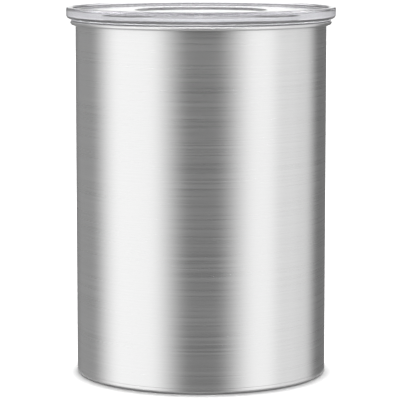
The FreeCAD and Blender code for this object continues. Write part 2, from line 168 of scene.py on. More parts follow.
class LidSizes(PropertyGroup):
    """Sizes of the clear outer lid and of its gasket."""
    rim_round: length("Rim rounding", "Rounding of the rim's upper edge", 0.0006)
    lip_round: length("Lip rounding", "Rounding of the lip's inner edge", 0.0015)
    lower_round: length("Lower rounding", "Rounding under the lid's rim", 0.002)
    step_round: length("Step rounding", "Rounding at the steps of the lid's panel", 0.001)
    edge_round: length("Edge rounding", "Rounding of the lid's small edges", 0.00015)
    stack_gap: length("Stacking gap", "Gap round the foot of a canister that stands in the lip", 0.0013)
    stack_depth: length("Stacking depth", "Height of the lip over the panel", 0.0016)
    panel: length("Panel", "Thickness of the panel", 0.0024)
    dish_radius: length("Dish radius", "Radius of the sunken middle", 0.0315)
    dish_depth: length("Dish depth", "Depth of the sunken middle", 0.0007)
    spigot_gap: length("Spigot gap", "Gap between the spigot and the bore", 0.0016)
    spigot_wall: length("Spigot wall", "Thickness of the spigot", 0.002)
    spigot_round: length("Spigot rounding", "Rounding of the spigot's end", 0.0006)
    gasket_flange: length("Gasket flange", "Thickness of the gasket under the rim", 0.0005)
    gasket_leg: length("Gasket leg", "Thickness of the gasket on the spigot", 0.0007)
    gasket_fit: length("Gasket fit", "Gap between the gasket and the lid", 0.00005)
    gasket_lip_gap: length("Gasket lip gap", "Gap between the sealing lip and the bore", 0.0002)
    gasket_lip_height: length("Gasket lip height", "Height of the sealing lip's foot", 0.002)
    gasket_round: length("Gasket rounding", "Rounding of the gasket's edges", 0.0002)
    groove_depth: length("Groove depth", "Depth of the groove that keys the gasket", 0.0007)
    groove_height: length("Groove height", "Height of the groove that keys the gasket", 0.002)
    groove_drop: length("Groove drop", "Distance from the rim's underside to the groove", 0.0032)
    # Shares of the painted shade at the lid's steps, on the lip's inner edge and under the lid
    lip_share: share("Lip share", "Share of the steps' shade on the lip's inner edge", 0.4)
    under_share: share("Under share", "Share of the steps' shade under the lid", 0.25)


class PlungerSizes(PropertyGroup):
    """Sizes of the plunger's dish and of the wiper seal round it."""
    wall: length("Wall", "Thickness of the dish's wall", 0.0025)
    floor: length("Floor", "Thickness of the dish's floor", 0.0025)
    flange: length("Flange", "Height of the flanges that hold the wiper seal", 0.002)
    groove: length("Groove", "Depth of the groove for the wiper seal", 0.002)
    rim_round: length("Rim rounding", "Rounding of the flanges' edges", 0.0008)
    floor_round: length("Floor rounding", "Rounding between floor and wall", 0.002)
    small_round: length("Small rounding", "Rounding of the plunger's small edges", 0.0002)
    rib_count: count("Ribs", "Ribs on the floor", 12)
    rib_width: length("Rib width", "Width of a rib", 0.0016)
    rib_height: length("Rib height", "Height of a rib over the floor", 0.0012)
    rib_start: length("Rib start", "Distance of the ribs' inner ends from the axis", 0.02)
    port_radius: length("Port radius", "Radius of the valve port", 0.006)
    seat_width: length("Seat width", "Width of the raised seat round the port", 0.002)
    seat_height: length("Seat height", "Height of the seat over the floor", 0.0008)
    seat_round: length("Seat rounding", "Rounding of the seat's edges", 0.0003)
    spoke_count: count("Spokes", "Spokes across the port", 3)
    spoke_width: length("Spoke width", "Width of a spoke", 0.0014)
    spoke_height: length("Spoke height", "Height of a spoke", 0.0012)
    spoke_hub: length("Spoke hub", "Radius of the hub where the spokes meet", 0.002)
    ear_thickness: length("Ear thickness", "Thickness of the ears that carry the handle", 0.004)
    ear_radius: length("Ear radius", "Rounding of an ear's top", 0.0045)
    ear_foot: length("Ear foot", "Width of an ear at the floor", 0.013)
    ear_edge: length("Ear edge", "Rounding of an ear's edges", 0.0004)
    wiper_fit: length("Wiper fit", "Gap between the wiper seal and its groove", 0.00005)
    sleeve: length("Sleeve", "Thickness of the wiper seal's sleeve", 0.0013)
    fin_count: count("Fins", "Fins on the wiper seal", 2)
    fin_root: length("Fin root", "Thickness of a fin at the sleeve", 0.0018)
    fin_tip: length("Fin tip", "Thickness of a fin at the bore", 0.0008)
    fin_rise: length("Fin rise", "Height that a fin rises to its tip", 0.0016)


class ValveSizes(PropertyGroup):
    """Sizes of the valve and of the cage over it."""
    disc_round: length("Disc rounding", "Rounding of the disc's edges", 0.0005)
    neck_radius: length("Neck radius", "Radius of the stem through the disc and the lift bar", 0.0015)
    shaft_radius: length("Shaft radius", "Radius of the stem in its guide", 0.002)
    fit: length("Fit", "Gap round the stem", 0.00005)
    stem_round: length("Stem rounding", "Rounding of the stem's ends", 0.0003)
    washer: length("Washer", "Thickness of the washer", 0.0008)
    washer_round: length("Washer rounding", "Rounding of the washer's edges", 0.0002)
    clip: length("Clip", "Thickness of the stem's clip", 0.0006)
    clip_depth: length("Clip depth", "Depth of the clip's groove", 0.0005)
    bar_round: length("Bar rounding", "Rounding of the lift bar's corners", 0.0015)
    edge: length("Edge", "Rounding of the bar's and cage's small edges", 0.0003)
    wire: length("Spring wire", "Diameter of the spring's wire", 0.0007)
    turns: count("Spring turns", "Turns of the spring", 4)
    spring_gap: length("Spring gap", "Gap between the spring and what it stands round", 0.0005)
    cage_wall: length("Cage wall", "Thickness of the cage's wall", 0.0016)
    cage_roof: length("Cage roof", "Thickness of the cage's roof", 0.0014)
    cage_round: length("Cage rounding", "Rounding of the cage's upper edge", 0.0008)
    guide: length("Guide", "Height of the stem's guide under the roof", 0.0015)
    windows: count("Windows", "Windows in the cage's wall", 6)
    window_width: length("Window width", "Width of a window", 0.006)
    sill: length("Sill", "Height of the wall under the windows", 0.003)
    lintel: length("Lintel", "Height of the wall over the windows", 0.002)
    lug_radius: length("Lug radius", "Rounding of a lug's end", 0.0032)
    lug_thickness: length("Lug thickness", "Thickness of a lug", 0.002)
    screw_hole: length("Screw hole", "Radius of the hole in a lug", 0.00113)
    rail_height: length("Rail height", "Height of the rails beside the lift bar", 0.0022)
    rail_thickness: length("Rail thickness", "Thickness of a rail", 0.0014)
    rail_length: length("Rail length", "Length of a rail", 0.014)
    rail_gap: length("Rail gap", "Gap between a rail and the lift bar", 0.0003)


class HandleSizes(PropertyGroup):
    """Sizes of the folding handle and of its pins."""
    width: length("Width", "Width of the handle's bar", 0.006)
    thickness: length("Thickness", "Thickness of the handle's bar", 0.006)
    edge: length("Edge", "Rounding of the bar's edges", 0.0022)
    neck: length("Neck", "Length of the straight arms at the pivot", 0.009)
    splay: length("Splay", "Distance that the arms spread to each side", 0.009)
    shoulder: share("Shoulder", "Share of the arm's reach over which it spreads", 0.3)
    bends: FloatVectorProperty(name="Bends", description="Shares of the shorter run that each bend takes",
                               default=(0.38, 0.38, 0.6), size=3)
    hub_radius: length("Hub radius", "Radius of the hubs that turn on the pins", 0.0036)
    hub_round: length("Hub rounding", "Rounding of the hubs' ends", 0.0003)
    cam_reach: length("Cam reach", "Height of the cams over the pivot while the valve is shut", 0.00412)
    cam_width: length("Cam width", "Width of a cam", 0.004)
    cam_gap: length("Cam gap", "Gap between a cam and its arm", 0.0005)
    overswing: angle("Overswing", "Angle that a cam goes on past the handle's swing", 8)
    ear_gap: length("Ear gap", "Gap between a hub and its ear", 0.0003)
    pin_radius: length("Pin radius", "Radius of a pin", 0.0015)
    pin_fit: length("Pin fit", "Gap between a pin and its hub", 0.00005)
    pin_head: length("Pin head", "Thickness of a pin's head", 0.001)
    pin_round: length("Pin rounding", "Rounding of a pin's ends", 0.0004)


class Finishes(PropertyGroup):
    """Colours and roughness of the finishes."""
    steel: colour("Steel", "Brushed steel of the wall and the pan", (0.63, 0.63, 0.63))
    steel_roughness: share("Steel roughness", "Mean roughness of the brushed steel", 0.30)
    steel_grain: share("Steel grain", "How far highlights are drawn out across the brushing", 0.80)
    clear: colour("Clear plastic", "Tint of the clear lid", (0.955, 0.95, 0.975))
    # Painted shade: a dark colour that the clear plastic takes at its steps and edges, in place of the light
    # they bend away
    painted_step_shade: colour("Clear steps", "Tint of the steps, which bend light away", (0.006, 0.006, 0.008))
    clear_index: number("Refractive index", "Index of the clear plastic", 1.49)
    clear_body: colour("Clear body", "Tint of light that runs inside the plastic", (0.49, 0.49, 0.52))
    clear_density: number("Clear density", "How soon light inside takes its tint, to the metre", 6.5)
    clear_alpha: share("Clear coverage", "Share of the light that the plastic bends or reflects", 0.94)
    # The gasket's grey is grey silicone, darkened further to paint the shade in the neck between the lid and
    # the rolled rim
    gasket: colour("Gasket", "Grey silicone under the lid", (0.30, 0.30, 0.31))
    plunger: colour("Plunger", "Charcoal plastic of the plunger", (0.06, 0.06, 0.065))
    cage: colour("Cage", "Plastic of the valve cage", (0.09, 0.09, 0.095))
    handle: colour("Handle", "Satin plastic of the handle", (0.045, 0.045, 0.05))
    wiper: colour("Wiper", "Grey silicone of the wiper seal", (0.30, 0.30, 0.31))
    valve: colour("Valve disc", "Silicone of the valve disc", (0.45, 0.45, 0.46))
    acetal: colour("Acetal", "Natural plastic of the stem and lift bar", (0.27, 0.265, 0.255))
    fastener: colour("Fasteners", "Bright steel of the small parts", (0.66, 0.66, 0.65))


class StudioSizes(PropertyGroup):
    """Camera, floor and light."""
    camera_distance: length("Camera distance", "Distance of the camera in front of the axis", 1.0934)
    camera_height: length("Camera height", "Height of the camera over the floor", 0.2245)
    camera_offset: length("Camera offset", "Distance of the camera to the left of the axis", 0.00047)
    camera_tilt: angle("Camera tilt", "Angle that the camera looks down at", 7.339)
    camera_lens: number("Lens", "Focal length in millimetres", 203.78)
    floor_radius: length("Floor radius", "Radius of the floor", 9.0)
    floor_middle: length("Floor middle", "Radius of the floor that shows in the foot's gloss", 0.062)
    floor_paint: colour("Floor paint", "Paint of the floor", (0.60, 0.60, 0.60))
    light_spread: angle("Light spread", "Angle that the overhead light fills", 3.6)
    light_lean: angle("Light lean", "Angle that the overhead light leans back from upright", 1.2)
    light_power: number("Light power", "Light that falls on a level square metre", 5.0)


def unit(vectors):
    """The vectors divided by their own lengths."""
    return vectors / np.maximum(np.linalg.norm(vectors, axis=-1, keepdims=True), LEAST_LENGTH)


def smooth_step(values):
    """Values held between 0 and 1 and eased at both ends: t squared times (3 - 2 t)."""
    held = np.clip(values, 0, 1)
    return held * held * (3 - 2 * held)


def rounded_outline(corners, steps=10):
    """Closed outline through corners (across, up, rounding).

    Each corner becomes an arc of that rounding, tangent to its two runs: centre + start arm turned by an
    angle that goes evenly from 0 to the corner's turn. A point on each run beside the arc, half a rounding
    or a third of the spare run away, keeps the run flat in shading.
    """
    sharpest, straightest = 1e-3, math.pi / 2 - 1e-6
    table = np.array(corners, float)
    place, rounding = table[:, :2], table[:, 2]
    before, after = np.roll(place, 1, 0) - place, np.roll(place, -1, 0) - place
    back, ahead = unit(before), unit(after)
    half = np.arccos(np.clip((back * ahead).sum(1), -1, 1)) / 2
    half = np.clip(half, sharpest, straightest)
    reach = rounding / np.tan(half)
    spare_after = np.maximum(np.linalg.norm(after, axis=1) - reach - np.roll(reach, -1), 0)
    lead_before = np.minimum(rounding / 2, np.roll(spare_after, 1) / 3)
    lead_after = np.minimum(rounding / 2, spare_after / 3)
    start = place + back * reach[:, None]
    end = place + ahead * reach[:, None]
    centre = place + unit(back + ahead) * (rounding / np.sin(half))[:, None]
    side = np.sign(before[:, 1] * after[:, 0] - before[:, 0] * after[:, 1])
    turn = -(side * (math.pi - 2 * half))[:, None] * np.linspace(0, 1, steps + 1)
    arm = (start - centre)[:, None, :]
    turned_arm = np.stack([
        arm[..., 0] * np.cos(turn) + arm[..., 1] * np.sin(turn),
        arm[..., 1] * np.cos(turn) - arm[..., 0] * np.sin(turn),
    ], -1)
    points = np.concatenate([
        (start + back * lead_before[:, None])[:, None],
        centre[:, None] + turned_arm,
        (end + ahead * lead_after[:, None])[:, None],
    ], 1).reshape(-1, 2)
    apart = np.linalg.norm(points - np.roll(points, 1, 0), axis=1) > SAME_PLACE
    return points[apart]


def divided(outline, longest):
    """The closed outline with each run cut into equal pieces no longer than this."""
    run = np.roll(outline, -1, 0) - outline
    pieces = np.ceil(np.linalg.norm(run, axis=1) / longest).astype(int)
    first = np.repeat(np.arange(len(outline)), pieces)
    order = np.arange(len(first)) - np.repeat(np.cumsum(pieces) - pieces, pieces)
    return outline[first] + run[first] * (order / pieces[first])[:, None]


def box_outline(across_low, across_high, up_low, up_high, rounding):
    """A rectangle's outline with its corners rounded."""
    return rounded_outline([
        (across_low, up_low, rounding),
        (across_high, up_low, rounding),
        (across_high, up_high, rounding),
        (across_low, up_high, rounding),
    ])


def turned(outline, segments):
    """Outline (radius, height) turned about Z by a whole turn of a: (radius cos a, radius sin a, height)."""
    turn = np.linspace(0, 2 * math.pi, segments, endpoint=False)
    radius, height = outline[:, 0, None], outline[:, 1, None]
    return np.stack([radius * np.cos(turn), radius * np.sin(turn), height + 0 * turn], -1)


def plate(outline, centre, near, far, edge, hole=0.0, steps=4):
    """A plate (across, up, through) inside a closed outline, with rounded edges and perhaps a round hole.

    Each row is the outline moved inward by edge (1 - sin t), at edge (1 - cos t) from its face, for t from 0
    to a quarter turn. A row further in keeps the face flat in shading. The first and last rows are the hole,
    or the centre where there is none.
    """
    further = 1.5
    ahead = unit(np.roll(outline, -1, 0) - np.roll(outline, 1, 0))
    area = (outline[:, 0] * np.roll(outline[:, 1], -1) - outline[:, 1] * np.roll(outline[:, 0], -1)).sum()
    outward = np.stack([ahead[:, 1], -ahead[:, 0]], -1) * np.sign(area)
    turn = np.linspace(0, math.pi / 2, steps + 1)
    inset = edge * np.concatenate([[further], 1 - np.sin(turn)])
    depth = edge * np.concatenate([[0], 1 - np.cos(turn)])
    inset = np.concatenate([inset, inset[::-1]])
    through = np.concatenate([near + depth, far - depth[::-1]])
    sides = outline - inset[:, None, None] * outward
    inner = np.array(centre) + hole * unit(outline - centre)
    rows = np.concatenate([inner[None], sides, inner[None]])
    levels = np.concatenate([[near], through, [far]])
    return np.concatenate([rows, np.broadcast_to(levels[:, None, None], (*rows.shape[:2], 1))], -1)


def capped(path, rows):
    """The rows along a path, with a pole at each of its ends."""
    ends = np.broadcast_to(path[[0, -1], None], (2, *rows.shape[1:]))
    return np.concatenate([ends[:1], rows, ends[1:]])


def carried(path, section):
    """Section (across, up) carried along a level path: path + side * across + Z * up, closed at its ends."""
    side = np.cross(unit(np.gradient(path, axis=0)), UP)
    return capped(path, path[:, None] + side[:, None] * section[:, :1] + UP * section[:, 1:])


def through_x(points):
    """A grid (across, up, through) with its plane across Y and Z and its third direction along X."""
    return points[..., [2, 0, 1]]


def spun(points, turn):
    """The points turned about Z."""
    x, y, z = np.moveaxis(points, -1, 0)
    return np.stack([x * np.cos(turn) - y * np.sin(turn), x * np.sin(turn) + y * np.cos(turn), z], -1)


def wrapped(points, radius):
    """A plate (across, up, out) wrapped about Z, where the angle is across / radius."""
    across, up, out = np.moveaxis(points, -1, 0)
    return np.stack([out * np.cos(across / radius), out * np.sin(across / radius), up], -1)


def both_sides(points):
    """The points and their mirror image across the YZ plane."""
    return [points, points * (-1, 1, 1)]


def grid_faces(points, sheet):
    """Corner numbers and map places of the faces over a grid of points (row, column).

    Columns close on themselves. Rows do too, unless the grid is a sheet or starts and ends at a pole: a row
    whose points all meet, which becomes one point with a fan of triangles.
    """
    rows, columns = points.shape[:2]
    index = np.arange(rows * columns).reshape(rows, columns)
    pole = np.ptp(points, axis=1).max(1) < SAME_PLACE
    index[pole] = index[pole, :1]
    run = np.linalg.norm(np.diff(points[:, 0], axis=0, append=points[:1, 0]), axis=1)
    along = np.broadcast_to((np.cumsum(run) - run)[:, None], (rows, columns))
    turn = np.broadcast_to(np.arange(columns) / columns, (rows, columns))
    last = rows - 1 if sheet or (pole[0] and pole[-1]) else rows
    near, far = index[:last], np.roll(index, -1, 0)[:last]
    quads = np.stack([near, np.roll(near, -1, 1), np.roll(far, -1, 1), far], -1)
    u, v = turn[:last], along[:last]
    u_next, v_next = u + 1 / columns, v + run[:last, None]
    maps = np.stack([np.stack([u, v], -1), np.stack([u_next, v], -1),
                     np.stack([u_next, v_next], -1), np.stack([u, v_next], -1)], -2)
    low, high = pole[:last], np.roll(pole, -1)[:last]
    whole = ~(low | high)
    return [(quads[whole].reshape(-1, 4), maps[whole].reshape(-1, 4, 2)),
            (quads[low][..., [0, 2, 3]].reshape(-1, 3), maps[low][..., [0, 2, 3], :].reshape(-1, 3, 2)),
            (quads[high][..., [0, 1, 2]].reshape(-1, 3), maps[high][..., [0, 1, 2], :].reshape(-1, 3, 2))]


def enclosed(places, groups):
    """Six times the volume inside the faces, below zero where they face inwards: the sum of a . (b x c)."""
    total = 0.0
    for corners, _ in groups:
        for second in range(1, corners.shape[1] - 1):
            a, b, c = (places[corners[:, corner]] for corner in (0, second, second + 1))
            total += (a * np.cross(b, c)).sum()
    return total


def surface_mesh(name, *grids, sheet=False, shade=None):
    """One smooth mesh over closed grids, each turned over if it faces inwards, or over an open sheet.

    Shade gives each point of a single grid a share of painted shade, which the mesh keeps as its step_shade.
    """
    places, loops, maps, sizes = [], [], [], []
    made = 0
    for points in grids:
        flat = points.reshape(-1, 3)
        groups = grid_faces(points, sheet)
        if not sheet and enclosed(flat, groups) < 0:
            groups = [(corners[:, ::-1], spots[:, ::-1]) for corners, spots in groups]
        used, renumbered = np.unique(np.concatenate([c.ravel() for c, _ in groups]), return_inverse=True)
        places.append(flat[used])
        loops.append(renumbered + made)
        maps += [spots.ravel() for _, spots in groups]
        sizes += [np.full(len(corners), corners.shape[1]) for corners, _ in groups]
        made += len(used)
    places, loops, sizes = np.concatenate(places), np.concatenate(loops), np.concatenate(sizes)
    mesh = bpy.data.meshes.new(name)
    mesh.vertices.add(len(places))
    mesh.vertices.foreach_set("co", places.ravel())
    mesh.loops.add(len(loops))
    mesh.loops.foreach_set("vertex_index", loops.astype(np.int32))
    mesh.polygons.add(len(sizes))
    mesh.polygons.foreach_set("loop_start", (np.cumsum(sizes) - sizes).astype(np.int32))
    mesh.uv_layers.new(name="surface").data.foreach_set("uv", np.concatenate(maps))
    if shade is not None:
        mesh.attributes.new("step_shade", "FLOAT", "POINT").data.foreach_set("value", shade.ravel()[used])
    mesh.update(calc_edges=True)
    mesh.validate()
    mesh.shade_smooth()
    mesh.set_sharp_from_angle(angle=SHARP_ANGLE)
    return mesh


def set_inputs(tree, node, inputs):
    """Each input of the node linked to another node's output, or set to a value."""
    for socket, source in inputs.items():
        if isinstance(source, bpy.types.NodeSocket):
            tree.links.new(source, node.inputs[socket])
        else:
            node.inputs[socket].default_value = source


def node_after(tree, kind, inputs=(), **settings):
    """A new node of this kind, with its settings and its inputs."""
    node = tree.nodes.new(kind)
    for key, value in settings.items():
        setattr(node, key, value)
    set_inputs(tree, node, dict(inputs))
    return node


def object_noise(tree, per_metre, detail=2.0, roughness=0.5):
    """Noise over the piece's own coordinates, with so many features to the metre along each axis."""
    place = node_after(tree, "ShaderNodeTexCoord").outputs["Object"]
    mapping = node_after(tree, "ShaderNodeMapping", {"Vector": place, "Scale": per_metre})
    noise = node_after(tree, "ShaderNodeTexNoise", {
        "Vector": mapping.outputs["Vector"], "Scale": 1.0, "Detail": detail, "Roughness": roughness})
    return noise.outputs["Fac"]


def mapped(tree, value, before, after, way="LINEAR"):
    """The value carried from one range to another."""
    ends = zip(("From Min", "From Max", "To Min", "To Max"), (*before, *after))
    node = node_after(tree, "ShaderNodeMapRange", {"Value": value, **dict(ends)}, interpolation_type=way)
    return node.outputs["Result"]


def combined(tree, operation, *terms):
    """A sum, or another operation, of numbers and nodes' outputs."""
    return node_after(tree, "ShaderNodeMath", enumerate(terms), operation=operation).outputs[0]


def faded(tree, factor, value, other, kind="FLOAT"):
    """The value carried over to another number or colour by the factor."""
    first, second, result = MIX_SOCKETS[kind]
    node = node_after(tree, "ShaderNodeMix", {0: factor, first: value, second: other}, data_type=kind)
    return node.outputs[result]


def shaded(tree, value, tint, depth):
    """The tint, darkened and lightened by the noise by up to this share."""
    ramp = node_after(tree, "ShaderNodeValToRGB", {"Fac": value})
    for stop, position, gain in zip(ramp.color_ramp.elements, NOISE_RANGE, (1 - depth, 1 + depth)):
        stop.position = position
        stop.color = (*[min(channel * gain, 1.0) for channel in tint], 1.0)
    return ramp.outputs["Color"]


def raised(tree, value, height, strength=1.0):
    """A bump of this height in metres."""
    bump = node_after(tree, "ShaderNodeBump", {"Height": value, "Distance": height, "Strength": strength})
    return bump.outputs["Normal"]


def about(middle, change):
    """The range that reaches this far to each side of its middle."""
    return middle - change, middle + change


def textured(tree, tint, tone, depth, rough, relief, height, strength=1.0):
    """Inputs for a tint and a range of roughness that follow one noise, over a bump that follows another."""
    return {
        "Base Color": shaded(tree, tone, tint, depth),
        "Roughness": mapped(tree, tone, NOISE_RANGE, rough),
        "Normal": raised(tree, relief, height, strength),
    }


def new_finish(name):
    """A new material, its node tree and its principled shader."""
    material = bpy.data.materials.new(name)
    material.use_nodes = True
    return material, material.node_tree, material.node_tree.nodes["Principled BSDF"]


def brushed_steel(name, finishes):
    """Steel brushed round the wall: lines that are long round the axis and fine along it."""
    material, tree, shader = new_finish(name)
    lines = object_noise(tree, per_metre=(9, 9, 1500), detail=4, roughness=0.65)
    rough = about(finishes.steel_roughness, change=0.05)
    tangent = node_after(tree, "ShaderNodeTangent", direction_type="UV_MAP", uv_map="surface")
    set_inputs(tree, shader, {
        **textured(tree, finishes.steel, lines, depth=0.05, rough=rough, relief=lines, height=0.000015),
        "Metallic": 1.0,
        "Anisotropic": finishes.steel_grain,
        "Anisotropic Rotation": 0.25,
        "Tangent": tangent.outputs["Tangent"],
    })
    return material


def clear_plastic(name, finishes):
    """Clear polished moulding with painted shade at its steps, faint flow marks and handling haze."""
    material, tree, shader = new_finish(name)
    flow = object_noise(tree, per_metre=(24, 24, 40), detail=1)
    haze = object_noise(tree, per_metre=(180, 180, 180), detail=4)
    # Painted shade: the colour fades to a dark tint where the mesh's step_shade marks the lid's steps and
    # edges
    step = node_after(tree, "ShaderNodeAttribute", attribute_name="step_shade").outputs["Fac"]
    tint = shaded(tree, flow, finishes.clear, depth=0.01)
    set_inputs(tree, shader, {
        "Base Color": faded(tree, step, tint, (*finishes.painted_step_shade, 1.0), kind="RGBA"),
        "Roughness": mapped(tree, haze, NOISE_RANGE, (0.0, 0.03)),
        "Normal": raised(tree, flow, height=0.00004, strength=0.4),
        "Transmission Weight": 1.0,
        "IOR": finishes.clear_index,
        "Alpha": finishes.clear_alpha,
    })
    body = node_after(tree, "ShaderNodeVolumeAbsorption", {
        "Color": (*finishes.clear_body, 1.0), "Density": finishes.clear_density})
    set_inputs(tree, tree.nodes["Material Output"], {"Volume": body.outputs["Volume"]})
    return material


def soft_silicone(name, tint, through):
    """Silicone with a faint mottle, and light that soaks in."""
    material, tree, shader = new_finish(name)
    mottle = object_noise(tree, per_metre=(260, 260, 260), detail=4)
    skin = object_noise(tree, per_metre=(3500, 3500, 3500), detail=2)
    set_inputs(tree, shader, {
        **textured(tree, tint, mottle, depth=0.06, rough=(0.38, 0.52),
                   relief=skin, height=0.00001, strength=0.5),
        "Subsurface Weight": through,
        "Subsurface Radius": (0.002, 0.002, 0.002),
        "Subsurface Scale": 1.0,
        "IOR": 1.41,
    })
    return material


def moulded_plastic(name, tint, roughness, grain):
    """Moulded plastic with a fine eroded grain, so many pores to the metre, and slow changes of gloss."""
    material, tree, shader = new_finish(name)
    pores = object_noise(tree, per_metre=(grain, grain, grain), detail=3, roughness=0.6)
    rub = object_noise(tree, per_metre=(60, 60, 60), detail=3)
    set_inputs(tree, shader, {
        **textured(tree, tint, rub, depth=0.15, rough=about(roughness, change=0.07),
                   relief=pores, height=0.00003, strength=0.6),
        "IOR": 1.5,
    })
    return material


def bright_steel(name, finishes):
    """Turned and drawn steel of the small parts."""
    material, tree, shader = new_finish(name)
    marks = object_noise(tree, per_metre=(900, 900, 2600), detail=3)
    set_inputs(tree, shader, {
        **textured(tree, finishes.fastener, marks, depth=0.08, rough=(0.18, 0.34),
                   relief=marks, height=0.000008),
        "Metallic": 1.0,
    })
    return material


def slot_material(context, slot):
    """The finish for one of the record's material slots, made once."""
    name = slot + "_finish"
    made = bpy.data.materials.get(name)
    if made:
        return made
    finishes = context.scene.canister_finishes
    makers = {
        "brushed_wall_steel": partial(brushed_steel, finishes=finishes),
        "base_pan_steel": partial(brushed_steel, finishes=finishes),
        "clear_lid_plastic": partial(clear_plastic, finishes=finishes),
        # The gasket's tint also carries painted shade for the neck under the lid
        "gasket_silicone": partial(soft_silicone, tint=finishes.gasket, through=0.05),
        "plunger_plastic": partial(moulded_plastic, tint=finishes.plunger, roughness=0.50, grain=2600),
        "wiper_silicone": partial(soft_silicone, tint=finishes.wiper, through=0.1),
        "cage_plastic": partial(moulded_plastic, tint=finishes.cage, roughness=0.42, grain=3600),
        "handle_plastic": partial(moulded_plastic, tint=finishes.handle, roughness=0.36, grain=4200),
        "valve_silicone": partial(soft_silicone, tint=finishes.valve, through=0.1),
        "stem_plastic": partial(moulded_plastic, tint=finishes.acetal, roughness=0.34, grain=4200),
        "fastener_steel": partial(bright_steel, finishes=finishes),
    }
    return makers[slot](name)


def add_piece(context, name, node, *grids, shade=None):
    """A piece over these grids that stands for a node: it rides on the node's body and takes its finish."""
    mesh = surface_mesh(name, *grids, shade=shade)
    mesh.materials.append(slot_material(context, SLOTS[node]))
    piece = bpy.data.objects.new(name, mesh)
    context.scene.collection.objects.link(piece)
    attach(piece, BODIES[node])
    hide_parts(node)
    return piece


def cut_edge(sheet):
    """Rounding of a steel sheet's cut edge, a fifth of its thickness."""
    return sheet / 5


class CANISTER_OT_wall(Operator):
    """Make the steel wall with its rolled rim"""
    bl_idname = "canister.wall"
    bl_label = "Canister Wall"

    def execute(self, context):
        can = context.scene.canister_can
        low, high = LOW["canister_wall"], HIGH["canister_wall"]
        top, foot, rim = high.z, low.z, high.x
        sheet, curl = can.wall_sheet, can.curl_height / 2
        bore = rim - can.curl_width
        outer = bore + sheet
        under = top - can.curl_height
        inside = curl - sheet
        edge = cut_edge(sheet)
        # Up the outer face, round inside the curl, back round outside it and down the bore
        outline = rounded_outline([
            (outer, foot, can.seam_round),
            (outer, top - sheet, inside),
            (rim - sheet, top - sheet, inside),
            (rim - sheet, under + sheet, inside),
            (outer + can.curl_edge_gap, under + sheet, edge),
            (outer + can.curl_edge_gap, under, edge),
            (rim, under, curl),
            (rim, top, curl),
            (bore, top, curl),
            (bore, foot, edge),
        ])
        add_piece(context, "brushed_wall", "canister_wall", turned(outline, can.segments))
        return {"FINISHED"}


class CANISTER_OT_base_pan(Operator):
    """Make the pressed pan with its rounded foot"""
    bl_idname = "canister.base_pan"
    bl_label = "Base Pan"

    def execute(self, context):
        can = context.scene.canister_can
        sheet, edge = can.pan_sheet, cut_edge(can.pan_sheet)
        outer, top = HIGH["base_pan"].x, HIGH["base_pan"].z
        shoulder = LOW["canister_wall"].z - can.pan_fit
        skirt = outer - can.wall_sheet - can.pan_fit
        ring = outer - can.foot_radius - can.foot_ring
        head = ring - can.pan_rise
        half_slope = math.radians(45) / 2
        mitre = sheet * math.tan(half_slope)
        bend = can.pan_bend + sheet
        # Out along the underside to the foot, up its outer face and the skirt, and back along the upper side
        outline = rounded_outline([
            (0, can.pan_rise, 0),
            (head, can.pan_rise, can.pan_bend),
            (ring, 0, bend),
            (outer, 0, can.foot_radius),
            (outer, shoulder, can.seam_round),
            (skirt, shoulder, edge),
            (skirt, top, edge),
            (skirt - sheet, top, edge),
            (skirt - sheet, shoulder - sheet, edge),
            (outer - sheet, shoulder - sheet, edge),
            (outer - sheet, sheet, can.foot_radius - sheet),
            (ring + mitre, sheet, can.pan_bend),
            (head + mitre, can.pan_rise + sheet, bend),
            (0, can.pan_rise + sheet, 0),
        ])
        add_piece(context, "pressed_pan", "base_pan", turned(outline, can.segments))
        return {"FINISHED"}


def lid_places(context):
    """Places that the lid and its gasket share: bore, seat, spigot, and the groove's top and radius."""
    can, lid = context.scene.canister_can, context.scene.canister_lid
    bore = HIGH["canister_wall"].x - can.curl_width
    seat = HIGH["outer_lid_gasket"].z
    spigot = bore - lid.spigot_gap
    return bore, seat, spigot, seat - lid.groove_drop, spigot - lid.groove_depth


def step_shade(outline, lid):
    """How much painted shade each point of a closed outline (radius, height) takes, by how far it lies on a
    step.

    It is the root of 2 |n_r n_z| for the point's normal n. Edges that bend outwards take the lip's share of
    it, or nothing where they face away from the axis. What faces down takes the under share.
    """
    ahead = np.roll(outline, -1, 0) - outline
    before = np.roll(ahead, 1, 0)
    along = unit(unit(ahead) + unit(before))
    outward = np.stack([along[:, 1], -along[:, 0]], -1)
    bend = before[:, 0] * ahead[:, 1] - before[:, 1] * ahead[:, 0]
    rounded = bend > SAME_PLACE * np.linalg.norm(ahead, axis=1)
    edge_share = np.where(outward[:, 0] > 0, 0.0, lid.lip_share)
    shade = np.sqrt(2 * np.abs(outward[:, 0] * outward[:, 1])) * np.where(rounded, edge_share, 1.0)
    shade *= np.where(outward[:, 1] < 0, lid.under_share, 1.0)
    return np.where(outline[:, 0] > 0, shade, 0.0)


